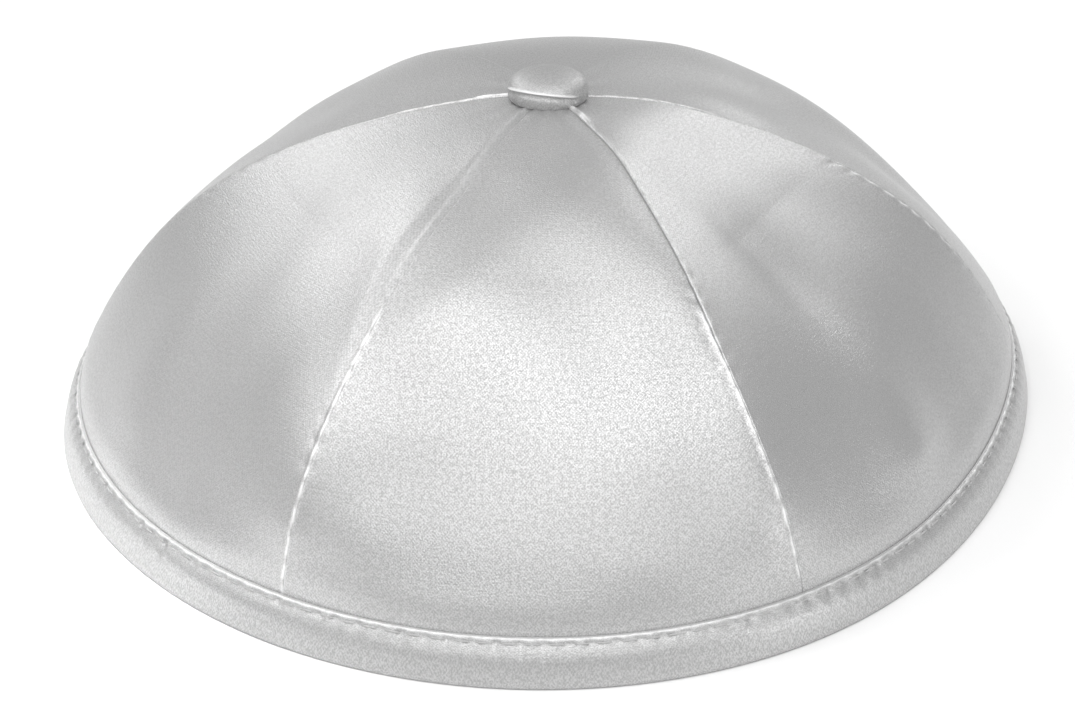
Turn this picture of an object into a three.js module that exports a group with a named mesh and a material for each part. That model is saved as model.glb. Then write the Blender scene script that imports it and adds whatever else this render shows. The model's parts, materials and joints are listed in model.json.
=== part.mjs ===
// A six-panel satin kippah, a skullcap, standing on its rim.
// Sizes are in millimetres and angles in degrees. +Z is up, the front faces -Y and the right is +X.
// An azimuth is measured round the crown from the front, and grows towards the right.
// A share runs down the crown, from 0 at its apex to 1 where it enters the rim band.

import * as THREE from "three";

// The rim's outline, seen from above: a circle made oval by a few waves round it.
const RIM_RADIUS = 84;
const RIM_WAVES = [
  { waves: 2, cosine: 3.8, sine: -3.1 },
  { waves: 3, cosine: 1.6, sine: 1.1 },
];

// The crown: its height at the apex, how far the apex stands to the right of the rim's middle,
// the length of its slope from the apex to the band, and its cloth, two layers of satin.
const CROWN_HEIGHT = 57;
const APEX_SHIFT = -1.2;
const SLOPE_LENGTH = 105;
const CLOTH = 1.0;

// Its slope below the level, down the sides and down the front and back.
const SLOPES = [
  { share: 0.0, side: 3, front: 0 },
  { share: 0.2, side: 13.5, front: 5 },
  { share: 0.4, side: 20.5, front: 18.5 },
  { share: 0.6, side: 32.5, front: 28 },
  { share: 0.8, side: 52.5, front: 53 },
  { share: 0.93, side: 60, front: 68 },
  { share: 1.0, side: 82, front: 82 },
];

// How round each panel is across: 0 is flat between its seams, 1 is part of the round crown.
const ROUNDNESS = [
  { share: 0.0, round: 0.4 },
  { share: 0.5, round: 0.3 },
  { share: 1.0, round: 1.0 },
];

// The seams between the panels: where each meets the rim, how far it has turned by the apex,
// and how far it bows aside halfway.
const SEAMS = [
  { name: "front_left", azimuth: -28.5, turn: 2.9, bow: 1.1 },
  { name: "front_right", azimuth: 26.3, turn: 5.6, bow: -4.6 },
  { name: "right", azimuth: 92.7, turn: -0.8, bow: 1.8 },
  { name: "back_right", azimuth: 150.8, turn: -1.1, bow: 1.3 },
  { name: "back_left", azimuth: 209.0, turn: -1.5, bow: 0.9 },
  { name: "left", azimuth: 267.1, turn: -1.8, bow: 0.4 },
];
const PANELS = [
  { name: "panel_front", from: "front_left", to: "front_right" },
  { name: "panel_front_right", from: "front_right", to: "right" },
  { name: "panel_back_right", from: "right", to: "back_right" },
  { name: "panel_back", from: "back_right", to: "back_left" },
  { name: "panel_back_left", from: "back_left", to: "left" },
  { name: "panel_front_left", from: "left", to: "front_left" },
];

// The soft dents and swells of the cloth. Lean turns a fold's length from straight down
// the crown towards the right. A depth above 0 is a dent.
const FOLDS = [
  { azimuth: -14, share: 0.7, lean: 70, length: 17, width: 9, depth: 0.8 },
  { azimuth: 2, share: 0.55, lean: 80, length: 22, width: 9, depth: -0.6 },
  { azimuth: 48, share: 0.52, lean: 8, length: 26, width: 6, depth: 0.8 },
  { azimuth: -45, share: 0.45, lean: -12, length: 24, width: 8, depth: -0.7 },
  { azimuth: 120, share: 0.55, lean: 5, length: 24, width: 9, depth: 0.7 },
  { azimuth: 182, share: 0.6, lean: 75, length: 20, width: 9, depth: 0.7 },
  { azimuth: 238, share: 0.55, lean: -8, length: 24, width: 8, depth: 0.7 },
];

// A seam's crease: how wide its two slopes are, and how deep it lies.
const CREASE_WIDTH = 1.6;
const CREASE_DEPTH = 0.4;
const CREASE_FADE = 0.1;

// The rim band: one strip folded up round the crown's edge, leaning out towards its foot.
const BAND_HEIGHT = 7.3;
const BAND_LEAN = 2.0;
const BAND_WALL = 1.0;
const BAND_SWELL = 0.25;
const BAND_CORNER = 0.6;
const BAND_FLOOR = 1.3;

// What is left free between neighbours.
const GAP = 0.3;

// The covered button. Heights are above the crown's apex.
const HOLE_RADIUS = 2.0;
const BUTTON_PROFILE = [
  { radius: 0, height: -2.2 },
  { radius: 1.2, height: -2.2 },
  { radius: 1.6, height: -1.8 },
  { radius: 1.6, height: 0.3 },
  { radius: 5.7, height: 0.0 },
  { radius: 6.4, height: 0.4 },
  { radius: 6.65, height: 1.1 },
  { radius: 6.45, height: 2.0 },
  { radius: 6.55, height: 2.6 },
  { radius: 6.1, height: 3.2 },
  { radius: 4.6, height: 3.7 },
  { radius: 2.4, height: 4.0 },
  { radius: 0, height: 4.1 },
];

// How finely the shapes are divided.
const ROWS_DOWN_PANEL = 18;
const COLUMNS_ACROSS_PANEL = 10;
const STEPS_ROUND_BAND = 84;
const STEPS_ROUND_BUTTON = 26;
const STEPS_DOWN_SLOPE = 120;

const SATIN = { color: 0xd2d2d2, roughness: 0.42, metalness: 0.0 };

const { degToRad, euclideanModulo, lerp, radToDeg, smoothstep } = THREE.MathUtils;

// The value of one column of a table at a share between two of its rows.
function fromTable(table, column, share) {
  const next = Math.max(1, table.findIndex((row) => row.share >= share));
  const above = table[next - 1];
  const below = table[next];
  const part = (share - above.share) / (below.share - above.share);
  return lerp(above[column], below[column], part);
}

// How far the band's outer top edge lies from the middle, at an azimuth.
function rimRadius(azimuth) {
  const turn = degToRad(azimuth);
  return RIM_WAVES.reduce((radius, { waves, cosine, sine }) => {
    return radius + cosine * Math.cos(waves * turn) + sine * Math.sin(waves * turn);
  }, RIM_RADIUS);
}

// How far the band's outer face stands out from its top edge, at a height above the floor.
function bandLean(height) {
  return BAND_LEAN * (1 - height / BAND_HEIGHT);
}

// Walks down the slope at an azimuth: the distance out and the drop at each share,
// for a path of length 1.
function slopePath(azimuth) {
  const front = Math.cos(degToRad(azimuth)) ** 2;
  const path = [{ out: 0, drop: 0 }];
  for (let step = 1; step <= STEPS_DOWN_SLOPE; step += 1) {
    const share = (step - 0.5) / STEPS_DOWN_SLOPE;
    const slope = lerp(fromTable(SLOPES, "side", share), fromTable(SLOPES, "front", share), front);
    const last = path[step - 1];
    path.push({
      out: last.out + Math.cos(degToRad(slope)) / STEPS_DOWN_SLOPE,
      drop: last.drop + Math.sin(degToRad(slope)) / STEPS_DOWN_SLOPE,
    });
  }
  return path;
}

// The round crown's outer face: its distance out and its height, at an azimuth and a share.
function crownProfile(azimuth, share) {
  const path = slopePath(azimuth);
  const foot = path[STEPS_DOWN_SLOPE];
  const place = Math.min(share * STEPS_DOWN_SLOPE, STEPS_DOWN_SLOPE - 1e-9);
  const index = Math.floor(place);
  const out = lerp(path[index].out, path[index + 1].out, place - index) / foot.out;
  const drop = lerp(path[index].drop, path[index + 1].drop, place - index) / foot.drop;
  return {
    radius: out * (rimRadius(azimuth) - BAND_WALL - GAP),
    height: CROWN_HEIGHT - drop * (CROWN_HEIGHT - BAND_HEIGHT),
  };
}

// A point at an azimuth, moved with the apex by how high it lies on the crown.
function placed(azimuth, radius, height) {
  const turn = degToRad(azimuth);
  const lift = Math.max(0, (height - BAND_HEIGHT) / (CROWN_HEIGHT - BAND_HEIGHT));
  return new THREE.Vector3(
    radius * Math.sin(turn) + APEX_SHIFT * lift,
    -radius * Math.cos(turn),
    height,
  );
}

function roundCrownPoint(azimuth, share) {
  const { radius, height } = crownProfile(azimuth, share);
  return placed(azimuth, radius, height);
}

// The direction straight out of the round crown.
function crownNormal(azimuth, share) {
  const reach = 0.01;
  const across = roundCrownPoint(azimuth + 1, share).sub(roundCrownPoint(azimuth - 1, share));
  const down = roundCrownPoint(azimuth, Math.min(share + reach, 1));
  down.sub(roundCrownPoint(azimuth, share - reach));
  return down.cross(across).normalize();
}

function seamAzimuth(seam, share) {
  return seam.azimuth + seam.turn * (1 - share) + seam.bow * 4 * share * (1 - share);
}

// How deep the folds press the cloth in, at a place on the crown.
function foldDepth(azimuth, share) {
  const { radius } = crownProfile(azimuth, share);
  return FOLDS.reduce((depth, fold) => {
    const aside = degToRad(euclideanModulo(azimuth - fold.azimuth + 180, 360) - 180) * radius;
    const down = (share - fold.share) * SLOPE_LENGTH;
    const lean = degToRad(fold.lean);
    const along = (down * Math.cos(lean) + aside * Math.sin(lean)) / fold.length;
    const across = (aside * Math.cos(lean) - down * Math.sin(lean)) / fold.width;
    return depth + fold.depth * Math.exp(-(along ** 2) - across ** 2);
  }, 0);
}

// The azimuths of a panel's columns at a share: half a gap clear of each seam, one column
// where the crease ends on each side, and the rest evenly between.
function panelColumns(from, to, share, radius) {
  const half = radToDeg(GAP / 2 / radius);
  const left = seamAzimuth(from, share) + half;
  const width = seamAzimuth(to, share) - half - left;
  const crease = Math.min(radToDeg(CREASE_WIDTH / radius), width / 4);
  const columns = [left];
  for (let column = 0; column <= COLUMNS_ACROSS_PANEL - 2; column += 1) {
    columns.push(left + crease + ((width - 2 * crease) * column) / (COLUMNS_ACROSS_PANEL - 2));
  }
  columns.push(left + width);
  return columns;
}

// A point of a panel's outer face.
function panelPoint(azimuth, share, middle, halfWidth, crease) {
  const { radius, height } = crownProfile(azimuth, share);
  const flat = Math.cos(degToRad(halfWidth)) / Math.cos(degToRad(azimuth - middle));
  const kept = lerp(flat, 1, fromTable(ROUNDNESS, "round", share));
  const edge = smoothstep(share, 0, CREASE_FADE) * smoothstep(1 - share, 0, CREASE_FADE);
  const depth = (crease * CREASE_DEPTH + foldDepth(azimuth, share)) * edge;
  return placed(azimuth, radius * kept, height).addScaledVector(crownNormal(azimuth, share), -depth);
}

// A panel's two seams, the second one further round than the first.
function panelSeams(panel) {
  const [first, second] = [panel.from, panel.to].map((name) => SEAMS.find((seam) => seam.name === name));
  const turns = second.azimuth < first.azimuth ? 360 : 0;
  return [first, { ...second, azimuth: second.azimuth + turns }];
}

// The rows of a panel's outer and inner face: down the crown, then down inside the band.
function panelFaces(panel) {
  const outer = [];
  const inner = [];
  const [first, second] = panelSeams(panel);
  const topShare = HOLE_RADIUS / SLOPE_LENGTH;
  for (let row = 0; row <= ROWS_DOWN_PANEL; row += 1) {
    const share = lerp(topShare, 1, row / ROWS_DOWN_PANEL);
    const middle = (seamAzimuth(first, share) + seamAzimuth(second, share)) / 2;
    const halfWidth = seamAzimuth(second, share) - middle;
    const columns = panelColumns(first, second, share, crownProfile(middle, share).radius);
    const creaseAt = (column) => (column === 0 || column === COLUMNS_ACROSS_PANEL ? 1 : 0);
    const face = columns.map((azimuth, column) =>
      panelPoint(azimuth, share, middle, halfWidth, creaseAt(column)),
    );
    const inward = columns.map((azimuth) => crownNormal(azimuth, share).multiplyScalar(-CLOTH));
    outer.push(face);
    inner.push(face.map((point, column) => point.clone().add(inward[column])));
  }
  const rimColumns = panelColumns(first, second, 1, RIM_RADIUS);
  const foot = BAND_FLOOR + GAP;
  for (const height of [(BAND_HEIGHT + foot) / 2, foot]) {
    const skirt = (depth) =>
      rimColumns.map((azimuth) => placed(azimuth, rimRadius(azimuth) + bandLean(height) - depth, height));
    outer.push(skirt(BAND_WALL + GAP));
    inner.push(skirt(BAND_WALL + GAP + CLOTH));
  }
  return { outer, inner };
}

function geometryOf(points, triangles) {
  const geometry = new THREE.BufferGeometry().setFromPoints(points);
  geometry.setIndex(triangles);
  geometry.computeVertexNormals();
  return geometry;
}

// A closed sheet between two faces that have the same rows and columns.
function sheetGeometry(outer, inner) {
  const rows = outer.length;
  const columns = outer[0].length;
  const at = (row, column, side) => side * rows * columns + row * columns + column;
  const triangles = [];
  const quad = (a, b, c, d) => triangles.push(a, b, c, a, c, d);
  for (let row = 0; row < rows - 1; row += 1) {
    for (let column = 0; column < columns - 1; column += 1) {
      quad(at(row, column, 0), at(row + 1, column, 0), at(row + 1, column + 1, 0), at(row, column + 1, 0));
      quad(at(row, column, 1), at(row, column + 1, 1), at(row + 1, column + 1, 1), at(row + 1, column, 1));
    }
    quad(at(row, 0, 0), at(row, 0, 1), at(row + 1, 0, 1), at(row + 1, 0, 0));
    const end = columns - 1;
    quad(at(row, end, 0), at(row + 1, end, 0), at(row + 1, end, 1), at(row, end, 1));
  }
  for (let column = 0; column < columns - 1; column += 1) {
    quad(at(0, column, 0), at(0, column + 1, 0), at(0, column + 1, 1), at(0, column, 1));
    const foot = rows - 1;
    quad(at(foot, column, 0), at(foot, column, 1), at(foot, column + 1, 1), at(foot, column + 1, 0));
  }
  return geometryOf([...outer.flat(), ...inner.flat()], triangles);
}

// The band's section: how far in from its outer face's slant, and how high, each corner lies.
// It goes up the outside, down into the channel for the crown's edge, up and down the inside.
function bandSection() {
  const channel = 2 * GAP + CLOTH;
  const inside = 2 * BAND_WALL + channel;
  const turn = BAND_CORNER / 2;
  return [
    { depth: BAND_CORNER, height: 0 },
    { depth: 0, height: BAND_CORNER },
    { depth: -BAND_SWELL, height: BAND_HEIGHT / 2 },
    { depth: 0, height: BAND_HEIGHT - turn },
    { depth: turn, height: BAND_HEIGHT },
    { depth: BAND_WALL, height: BAND_HEIGHT - turn },
    { depth: BAND_WALL, height: BAND_FLOOR },
    { depth: BAND_WALL + channel, height: BAND_FLOOR },
    { depth: BAND_WALL + channel, height: BAND_HEIGHT - turn },
    { depth: inside - turn, height: BAND_HEIGHT },
    { depth: inside, height: BAND_HEIGHT - turn },
    { depth: inside, height: BAND_CORNER },
    { depth: inside - BAND_CORNER, height: 0 },
  ];
}

// The band: its section carried round the rim and closed on itself.
function bandGeometry() {
  const section = bandSection();
  const points = [];
  const triangles = [];
  for (let step = 0; step < STEPS_ROUND_BAND; step += 1) {
    const azimuth = (step * 360) / STEPS_ROUND_BAND;
    const next = (step + 1) % STEPS_ROUND_BAND;
    section.forEach(({ depth, height }, corner) => {
      points.push(placed(azimuth, rimRadius(azimuth) + bandLean(height) - depth, height));
      const after = (corner + 1) % section.length;
      const here = step * section.length;
      const there = next * section.length;
      triangles.push(here + corner, there + corner, there + after);
      triangles.push(here + corner, there + after, here + after);
    });
  }
  return geometryOf(points, triangles);
}

// The button's profile turned round its own upright axis.
function buttonGeometry() {
  const profile = BUTTON_PROFILE.map(({ radius, height }) => new THREE.Vector2(radius, height));
  return new THREE.LatheGeometry(profile, STEPS_ROUND_BUTTON).rotateX(Math.PI / 2);
}

function named(name, geometry) {
  const mesh = new THREE.Mesh(geometry, new THREE.MeshStandardMaterial(SATIN));
  mesh.name = name;
  return mesh;
}

function buildKippah() {
  const kippah = new THREE.Group();
  PANELS.forEach((panel) => {
    const { outer, inner } = panelFaces(panel);
    kippah.add(named(panel.name, sheetGeometry(outer, inner)));
  });
  kippah.add(named("rim_band", bandGeometry()));
  const button = named("top_button", buttonGeometry());
  button.position.set(APEX_SHIFT, 0, CROWN_HEIGHT);
  kippah.add(button);

  // The origin is on the floor, under the middle of the whole outline.
  const middle = new THREE.Box3().setFromObject(kippah).getCenter(new THREE.Vector3());
  kippah.position.set(-middle.x, -middle.y, 0);
  return kippah;
}

export default buildKippah();
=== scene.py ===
# %% [markdown]
# A six-panel satin kippah, a skullcap, standing on its rim.
# The real one is sewn from six wedges of satin over a plain lining, a strip of the same satin
# folded round the rim, and a small covered button where the six seams meet. Each of them is made
# here as a piece of its own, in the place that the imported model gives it.
# Lengths are in millimetres and angles in degrees until a vertex is placed. The front faces -Y,
# an azimuth is measured round the crown from the front towards +X, and a share runs down the
# crown, from 0 at its apex to 1 where it enters the rim band.

import json
import math

import bmesh
import bpy
import numpy as np
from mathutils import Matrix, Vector, noise

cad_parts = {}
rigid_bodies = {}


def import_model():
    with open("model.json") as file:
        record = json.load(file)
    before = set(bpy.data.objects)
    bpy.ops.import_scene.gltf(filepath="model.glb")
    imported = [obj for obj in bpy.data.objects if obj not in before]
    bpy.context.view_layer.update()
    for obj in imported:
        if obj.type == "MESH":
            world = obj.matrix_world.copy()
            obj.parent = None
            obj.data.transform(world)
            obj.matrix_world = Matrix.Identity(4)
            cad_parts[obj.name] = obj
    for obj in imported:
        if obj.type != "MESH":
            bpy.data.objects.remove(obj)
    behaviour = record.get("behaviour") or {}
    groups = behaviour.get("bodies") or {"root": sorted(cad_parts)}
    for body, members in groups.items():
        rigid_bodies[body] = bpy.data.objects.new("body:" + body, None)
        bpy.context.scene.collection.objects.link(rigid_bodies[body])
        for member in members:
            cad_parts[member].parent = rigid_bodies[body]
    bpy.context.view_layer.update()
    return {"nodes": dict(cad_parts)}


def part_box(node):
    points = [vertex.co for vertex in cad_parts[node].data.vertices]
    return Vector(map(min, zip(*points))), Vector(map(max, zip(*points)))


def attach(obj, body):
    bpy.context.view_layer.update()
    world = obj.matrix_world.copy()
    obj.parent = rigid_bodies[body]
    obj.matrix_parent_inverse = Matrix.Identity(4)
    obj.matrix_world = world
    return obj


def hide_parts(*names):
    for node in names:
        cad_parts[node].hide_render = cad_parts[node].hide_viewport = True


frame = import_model()
MM = 0.001
print("nodes:", ", ".join(sorted(frame["nodes"])))

# %% [markdown]
# The crown of a kippah is a low dome that six flat wedges of cloth make between them. A squashed
# sphere would be quick, but its slope would be wrong almost everywhere, and satin shows that. So
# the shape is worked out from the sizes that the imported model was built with. numpy works on all
# vertices of a panel at a time, so a fine mesh costs no more than a coarse one.

# %% Sizes of the crown
def table(columns, *rows):
    """Rows of named values, from a line of names and a tuple for each row."""
    names = columns.split()
    return [dict(zip(names, row)) for row in rows]


RIM_RADIUS = 84
RIM_WAVES = table(
    "waves cosine sine",
    (2, 3.8, -3.1),
    (3, 1.6, 1.1),
)
CROWN_HEIGHT = 57
APEX_SHIFT = -1.2
SLOPE_LENGTH = 105
CLOTH = 1.0
HOLE_RADIUS = 2.0
BAND_HEIGHT = 7.3
BAND_LEAN = 2.0
BAND_WALL = 1.0
BAND_FLOOR = 1.3
GAP = 0.3

SLOPES = table(
    "share side front",
    (0.0, 3, 0),
    (0.2, 13.5, 5),
    (0.4, 20.5, 18.5),
    (0.6, 32.5, 28),
    (0.8, 52.5, 53),
    (0.93, 60, 68),
    (1.0, 82, 82),
)
ROUNDNESS = table(
    "share round",
    (0.0, 0.4),
    (0.5, 0.3),
    (1.0, 1.0),
)
SEAMS = {
    "front_left": {"azimuth": -28.5, "turn": 2.9, "bow": 1.1},
    "front_right": {"azimuth": 26.3, "turn": 5.6, "bow": -4.6},
    "right": {"azimuth": 92.7, "turn": -0.8, "bow": 1.8},
    "back_right": {"azimuth": 150.8, "turn": -1.1, "bow": 1.3},
    "back_left": {"azimuth": 209.0, "turn": -1.5, "bow": 0.9},
    "left": {"azimuth": 267.1, "turn": -1.8, "bow": 0.4},
}
PANELS = {
    "panel_front": ("front_left", "front_right"),
    "panel_front_right": ("front_right", "right"),
    "panel_back_right": ("right", "back_right"),
    "panel_back": ("back_right", "back_left"),
    "panel_back_left": ("back_left", "left"),
    "panel_front_left": ("left", "front_left"),
}
print(len(PANELS), "panels, and a crown", CROWN_HEIGHT, "mm high")


# %% Helpers for tables and waves
def lerp(start, end, part):
    return start + (end - start) * part


def smoothstep(value, low, high):
    part = np.clip((value - low) / (high - low), 0, 1)
    return part * part * (3 - 2 * part)


def from_table(rows, column, share):
    """A column's value at a share between the rows."""
    return np.interp(share, [row["share"] for row in rows], [row[column] for row in rows])


def bell(distance, width):
    return np.exp(-((distance / width) ** 2))


def rim_radius(azimuth):
    """The radius of the rim: a circle with two small waves."""
    waves = 0
    for row in RIM_WAVES:
        angle = row["waves"] * np.radians(azimuth)
        waves = waves + (row["cosine"] * np.cos(angle) + row["sine"] * np.sin(angle))
    return RIM_RADIUS + waves


print("rim, front and side:", rim_radius(0.0).round(1), rim_radius(90.0).round(1))

# %% [markdown]
# Cloth that lies over a head gets steeper on its way down. Its profile could be drawn as a curve,
# but slope is what satin's shading shows, so the table holds slopes. They are eased into each
# other and walked from the apex to the band in short steps, once down the sides and once down the
# front and back, and the two profiles are blended round the crown.

# %% Walk down the slopes
PATH_STEPS = 120
EASE = 10
BLENDS = 40
SHORT_OF_END = 1e-9
NEAR_AZIMUTH = 1
NEAR_SHARE = 0.01


def eased_slope(column):
    """The slope at the middle of each step, with the table's corners eased over a few steps."""
    middles = (np.arange(-EASE, PATH_STEPS + EASE) + 0.5) / PATH_STEPS
    window = np.hanning(2 * EASE + 3)[1:-1]
    return np.convolve(from_table(SLOPES, column, middles), window / window.sum(), mode="valid")


def slope_paths():
    """How far out and down each step has come, for each blend of the side and the front."""
    blends = np.linspace(0, 1, BLENDS + 1)[:, None]
    slope = np.radians(lerp(eased_slope("side"), eased_slope("front"), blends))
    start = np.zeros((BLENDS + 1, 1))
    out = np.hstack([start, np.cumsum(np.cos(slope), axis=1)])
    drop = np.hstack([start, np.cumsum(np.sin(slope), axis=1)])
    return out / out[:, -1:], drop / drop[:, -1:]


SLOPE_OUT, SLOPE_DROP = slope_paths()


def between(grid, blend, share):
    """The value of a grid at places between its rows and columns."""
    row = np.clip(blend * BLENDS, 0, BLENDS - SHORT_OF_END)
    column = np.clip(share * PATH_STEPS, 0, PATH_STEPS - SHORT_OF_END)
    above, left = row.astype(int), column.astype(int)
    upper = lerp(grid[above, left], grid[above, left + 1], column - left)
    lower = lerp(grid[above + 1, left], grid[above + 1, left + 1], column - left)
    return lerp(upper, lower, row - above)


def crown_profile(azimuth, share):
    """The radius and the height of the round crown at a place."""
    blend = np.cos(np.radians(azimuth)) ** 2
    radius = between(SLOPE_OUT, blend, share) * (rim_radius(azimuth) - BAND_WALL - GAP)
    return radius, CROWN_HEIGHT - between(SLOPE_DROP, blend, share) * (CROWN_HEIGHT - BAND_HEIGHT)


button_low, button_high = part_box("top_button")
RIM_MIDDLE = np.array([
    (button_low.x + button_high.x) / 2 / MM - APEX_SHIFT,
    (button_low.y + button_high.y) / 2 / MM,
    0.0,
])
print("the rim's middle is at", RIM_MIDDLE.round(3), "mm")


def placed(azimuth, radius, height):
    """A point of the frame, in millimetres. The crown's top leans a little to one side."""
    turn = np.radians(azimuth)
    lift = np.maximum(0, (height - BAND_HEIGHT) / (CROWN_HEIGHT - BAND_HEIGHT))
    point = [radius * np.sin(turn) + APEX_SHIFT * lift, -radius * np.cos(turn), height + 0 * turn]
    return np.stack(point, axis=-1) + RIM_MIDDLE


def crown_point(azimuth, share):
    return placed(azimuth, *crown_profile(azimuth, share))


def crown_normal(azimuth, share):
    """The way out of the round crown, worked out from the places just beside a place."""
    across = crown_point(azimuth + NEAR_AZIMUTH, share) - crown_point(azimuth - NEAR_AZIMUTH, share)
    below, above = np.minimum(share + NEAR_SHARE, 1), share - NEAR_SHARE
    down = crown_point(azimuth, below) - crown_point(azimuth, above)
    out = np.cross(down, across)
    return out / np.linalg.norm(out, axis=-1, keepdims=True)


# %% [markdown]
# A wedge of satin lies nearly flat between its seams, so seen from above the crown has six soft
# corners. Each corner is at a seam, except on the front left, where the seam allowance under the
# cloth carries the flat of the front panel a few millimetres past the seam. Bevelled corners
# would have one width everywhere. A soft minimum of six flats lets the back be rounder.

# %% The six flats and their corners
CORNER_SHARPNESS = {"front": 150, "back": 30}
BACK_FROM = 110
BACK_TO = 150
FLAT_REACH = 80
CORNER_SHIFT = table(
    "share front_left",
    (0.0, -6.0),
    (0.45, -6.0),
    (0.75, 0.0),
)


def seam_azimuth(name, share):
    """Where a seam runs: it turns and bows a little on its way down."""
    seam = SEAMS[name]
    return seam["azimuth"] + seam["turn"] * (1 - share) + seam["bow"] * 4 * share * (1 - share)


def corner_azimuth(name, share):
    """Where the corner beside a seam lies: at the seam, or shifted to one side of it."""
    shift = from_table(CORNER_SHIFT, name, share) if name in CORNER_SHIFT[0] else 0
    return seam_azimuth(name, share) + shift


def turned(angle):
    """An angle between -180 and 180."""
    return (angle + 180) % 360 - 180


def flatness(azimuth, share):
    """How far in each flat lies, as a share of the round crown's radius."""
    total = 0
    behind = smoothstep(np.abs(turned(azimuth)), BACK_FROM, BACK_TO)
    sharpness = lerp(CORNER_SHARPNESS["front"], CORNER_SHARPNESS["back"], behind)
    for first, second in PANELS.values():
        left = corner_azimuth(first, share)
        width = (corner_azimuth(second, share) - left) % 360
        away = np.clip(np.abs(turned(azimuth - left - width / 2)), 0, FLAT_REACH)
        flat = np.cos(np.radians(width / 2)) / np.cos(np.radians(away))
        total = total + np.exp(-sharpness * (flat - 1))
    return 1 - np.log(total) / sharpness


print("middle of the front flat, as a share of the radius:", flatness(0.0, 0.5).round(3))

# %% [markdown]
# Satin that has been pressed and worn never lies quite even. Its dents and swells could be
# sculpted, but a table can be read and changed, and gives the same result each time. Each row is
# one soft bump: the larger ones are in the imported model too, the smaller ones are only here.

# %% Dents and swells of the cloth
FOLDS = table(
    "azimuth share lean length width depth",
    (-14, 0.7, 70, 17, 9, 0.8),
    (2, 0.55, 80, 22, 9, -0.6),
    (48, 0.52, 8, 26, 6, 0.8),
    (-45, 0.45, -12, 24, 8, -0.7),
    (120, 0.55, 5, 24, 9, 0.7),
    (182, 0.6, 75, 20, 9, 0.7),
    (238, 0.55, -8, 24, 8, 0.7),
)
SMALL_FOLDS = table(
    "azimuth share lean length width depth",
    (8, 0.6, 30, 18, 11, 1.4),
    (-13, 0.74, 0, 9, 9, -0.5),
    (-10, 0.9, 0, 10, 8, -0.1),
    (-19, 0.57, -25, 12, 7, -0.8),
    (-13, 0.32, 0, 9, 8, 0.5),
    (5, 0.72, 0, 8, 8, 0.3),
    (20, 0.62, 0, 10, 7, 0.6),
    (24, 0.88, 0, 14, 8, -1.3),
    (-27, 0.3, 0, 12, 9, 1.2),
    (10, 0.94, 90, 12, 6, -0.5),
    (-22, 0.86, 0, 10, 8, -0.9),
    (-43, 0.44, 10, 14, 9, 1.1),
    (-46, 0.93, 0, 14, 10, 1.0),
    (-29, 0.87, 0, 16, 8, -1.0),
    (-35, 0.73, 0, 10, 7, -0.4),
    (-91, 0.55, 0, 20, 11, -0.5),
    (-65, 0.78, 0, 16, 10, -0.8),
    (30, 0.4, 10, 12, 8, 0.3),
    (26, 0.33, 0, 10, 8, 0.2),
    (35, 0.23, 20, 10, 7, -0.7),
    (64, 0.38, -20, 12, 7, -0.2),
    (50, 0.62, 0, 13, 12, 1.2),
    (49, 0.88, 0, 14, 10, -2.3),
    (77, 0.21, 0, 12, 10, -1.2),
    (84, 0.48, 0, 12, 8, -0.5),
    (75, 0.75, 0, 13, 10, -0.4),
    (-2, 0.22, 0, 9, 8, 0.5),
    (-59, 0.89, 0, 12, 10, -0.3),
    (182, 0.56, 80, 22, 16, -1.4),
    (247, 0.36, 0, 12, 9, -0.5),
    (232, 0.5, 0, 26, 14, -1.1),
    (132, 0.5, 0, 22, 14, -1.0),
    (107, 0.34, 0, 12, 8, -0.9),
    (113, 0.74, 0, 14, 10, 1.4),
)


def fold_depth(azimuth, share):
    """How far the folds press the cloth in at a place."""
    radius = crown_profile(azimuth, share)[0]
    depth = 0
    for fold in FOLDS + SMALL_FOLDS:
        aside = np.radians(turned(azimuth - fold["azimuth"])) * radius
        down = (share - fold["share"]) * SLOPE_LENGTH
        lean = math.radians(fold["lean"])
        along = (down * math.cos(lean) + aside * math.sin(lean)) / fold["length"]
        across = (aside * math.cos(lean) - down * math.sin(lean)) / fold["width"]
        depth = depth + fold["depth"] * np.exp(-(along**2) - across**2)
    return depth


print(len(FOLDS), "large folds and", len(SMALL_FOLDS), "small ones")

# %% [markdown]
# At a seam the two wedges are sewn face to face and turned in, so each edge rolls over into a
# narrow groove. Beside it the cloth swells and dips over the turned-in allowance, and every
# stitch pulls a small pucker. A bump in the material would be less work, but it would be missing
# from the mesh. All of it is measured by the distance from the seam, on one side or the other.

# %% Seams
SEAM_GAP = 0.03
ROLL_WIDTH = 0.3
ROLLS = {
    "front_left": 0.05, "front_right": 0.1, "right": 0.09,
    "back_right": 0.03, "back_left": 0.03, "left": 0.09,
}
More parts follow.
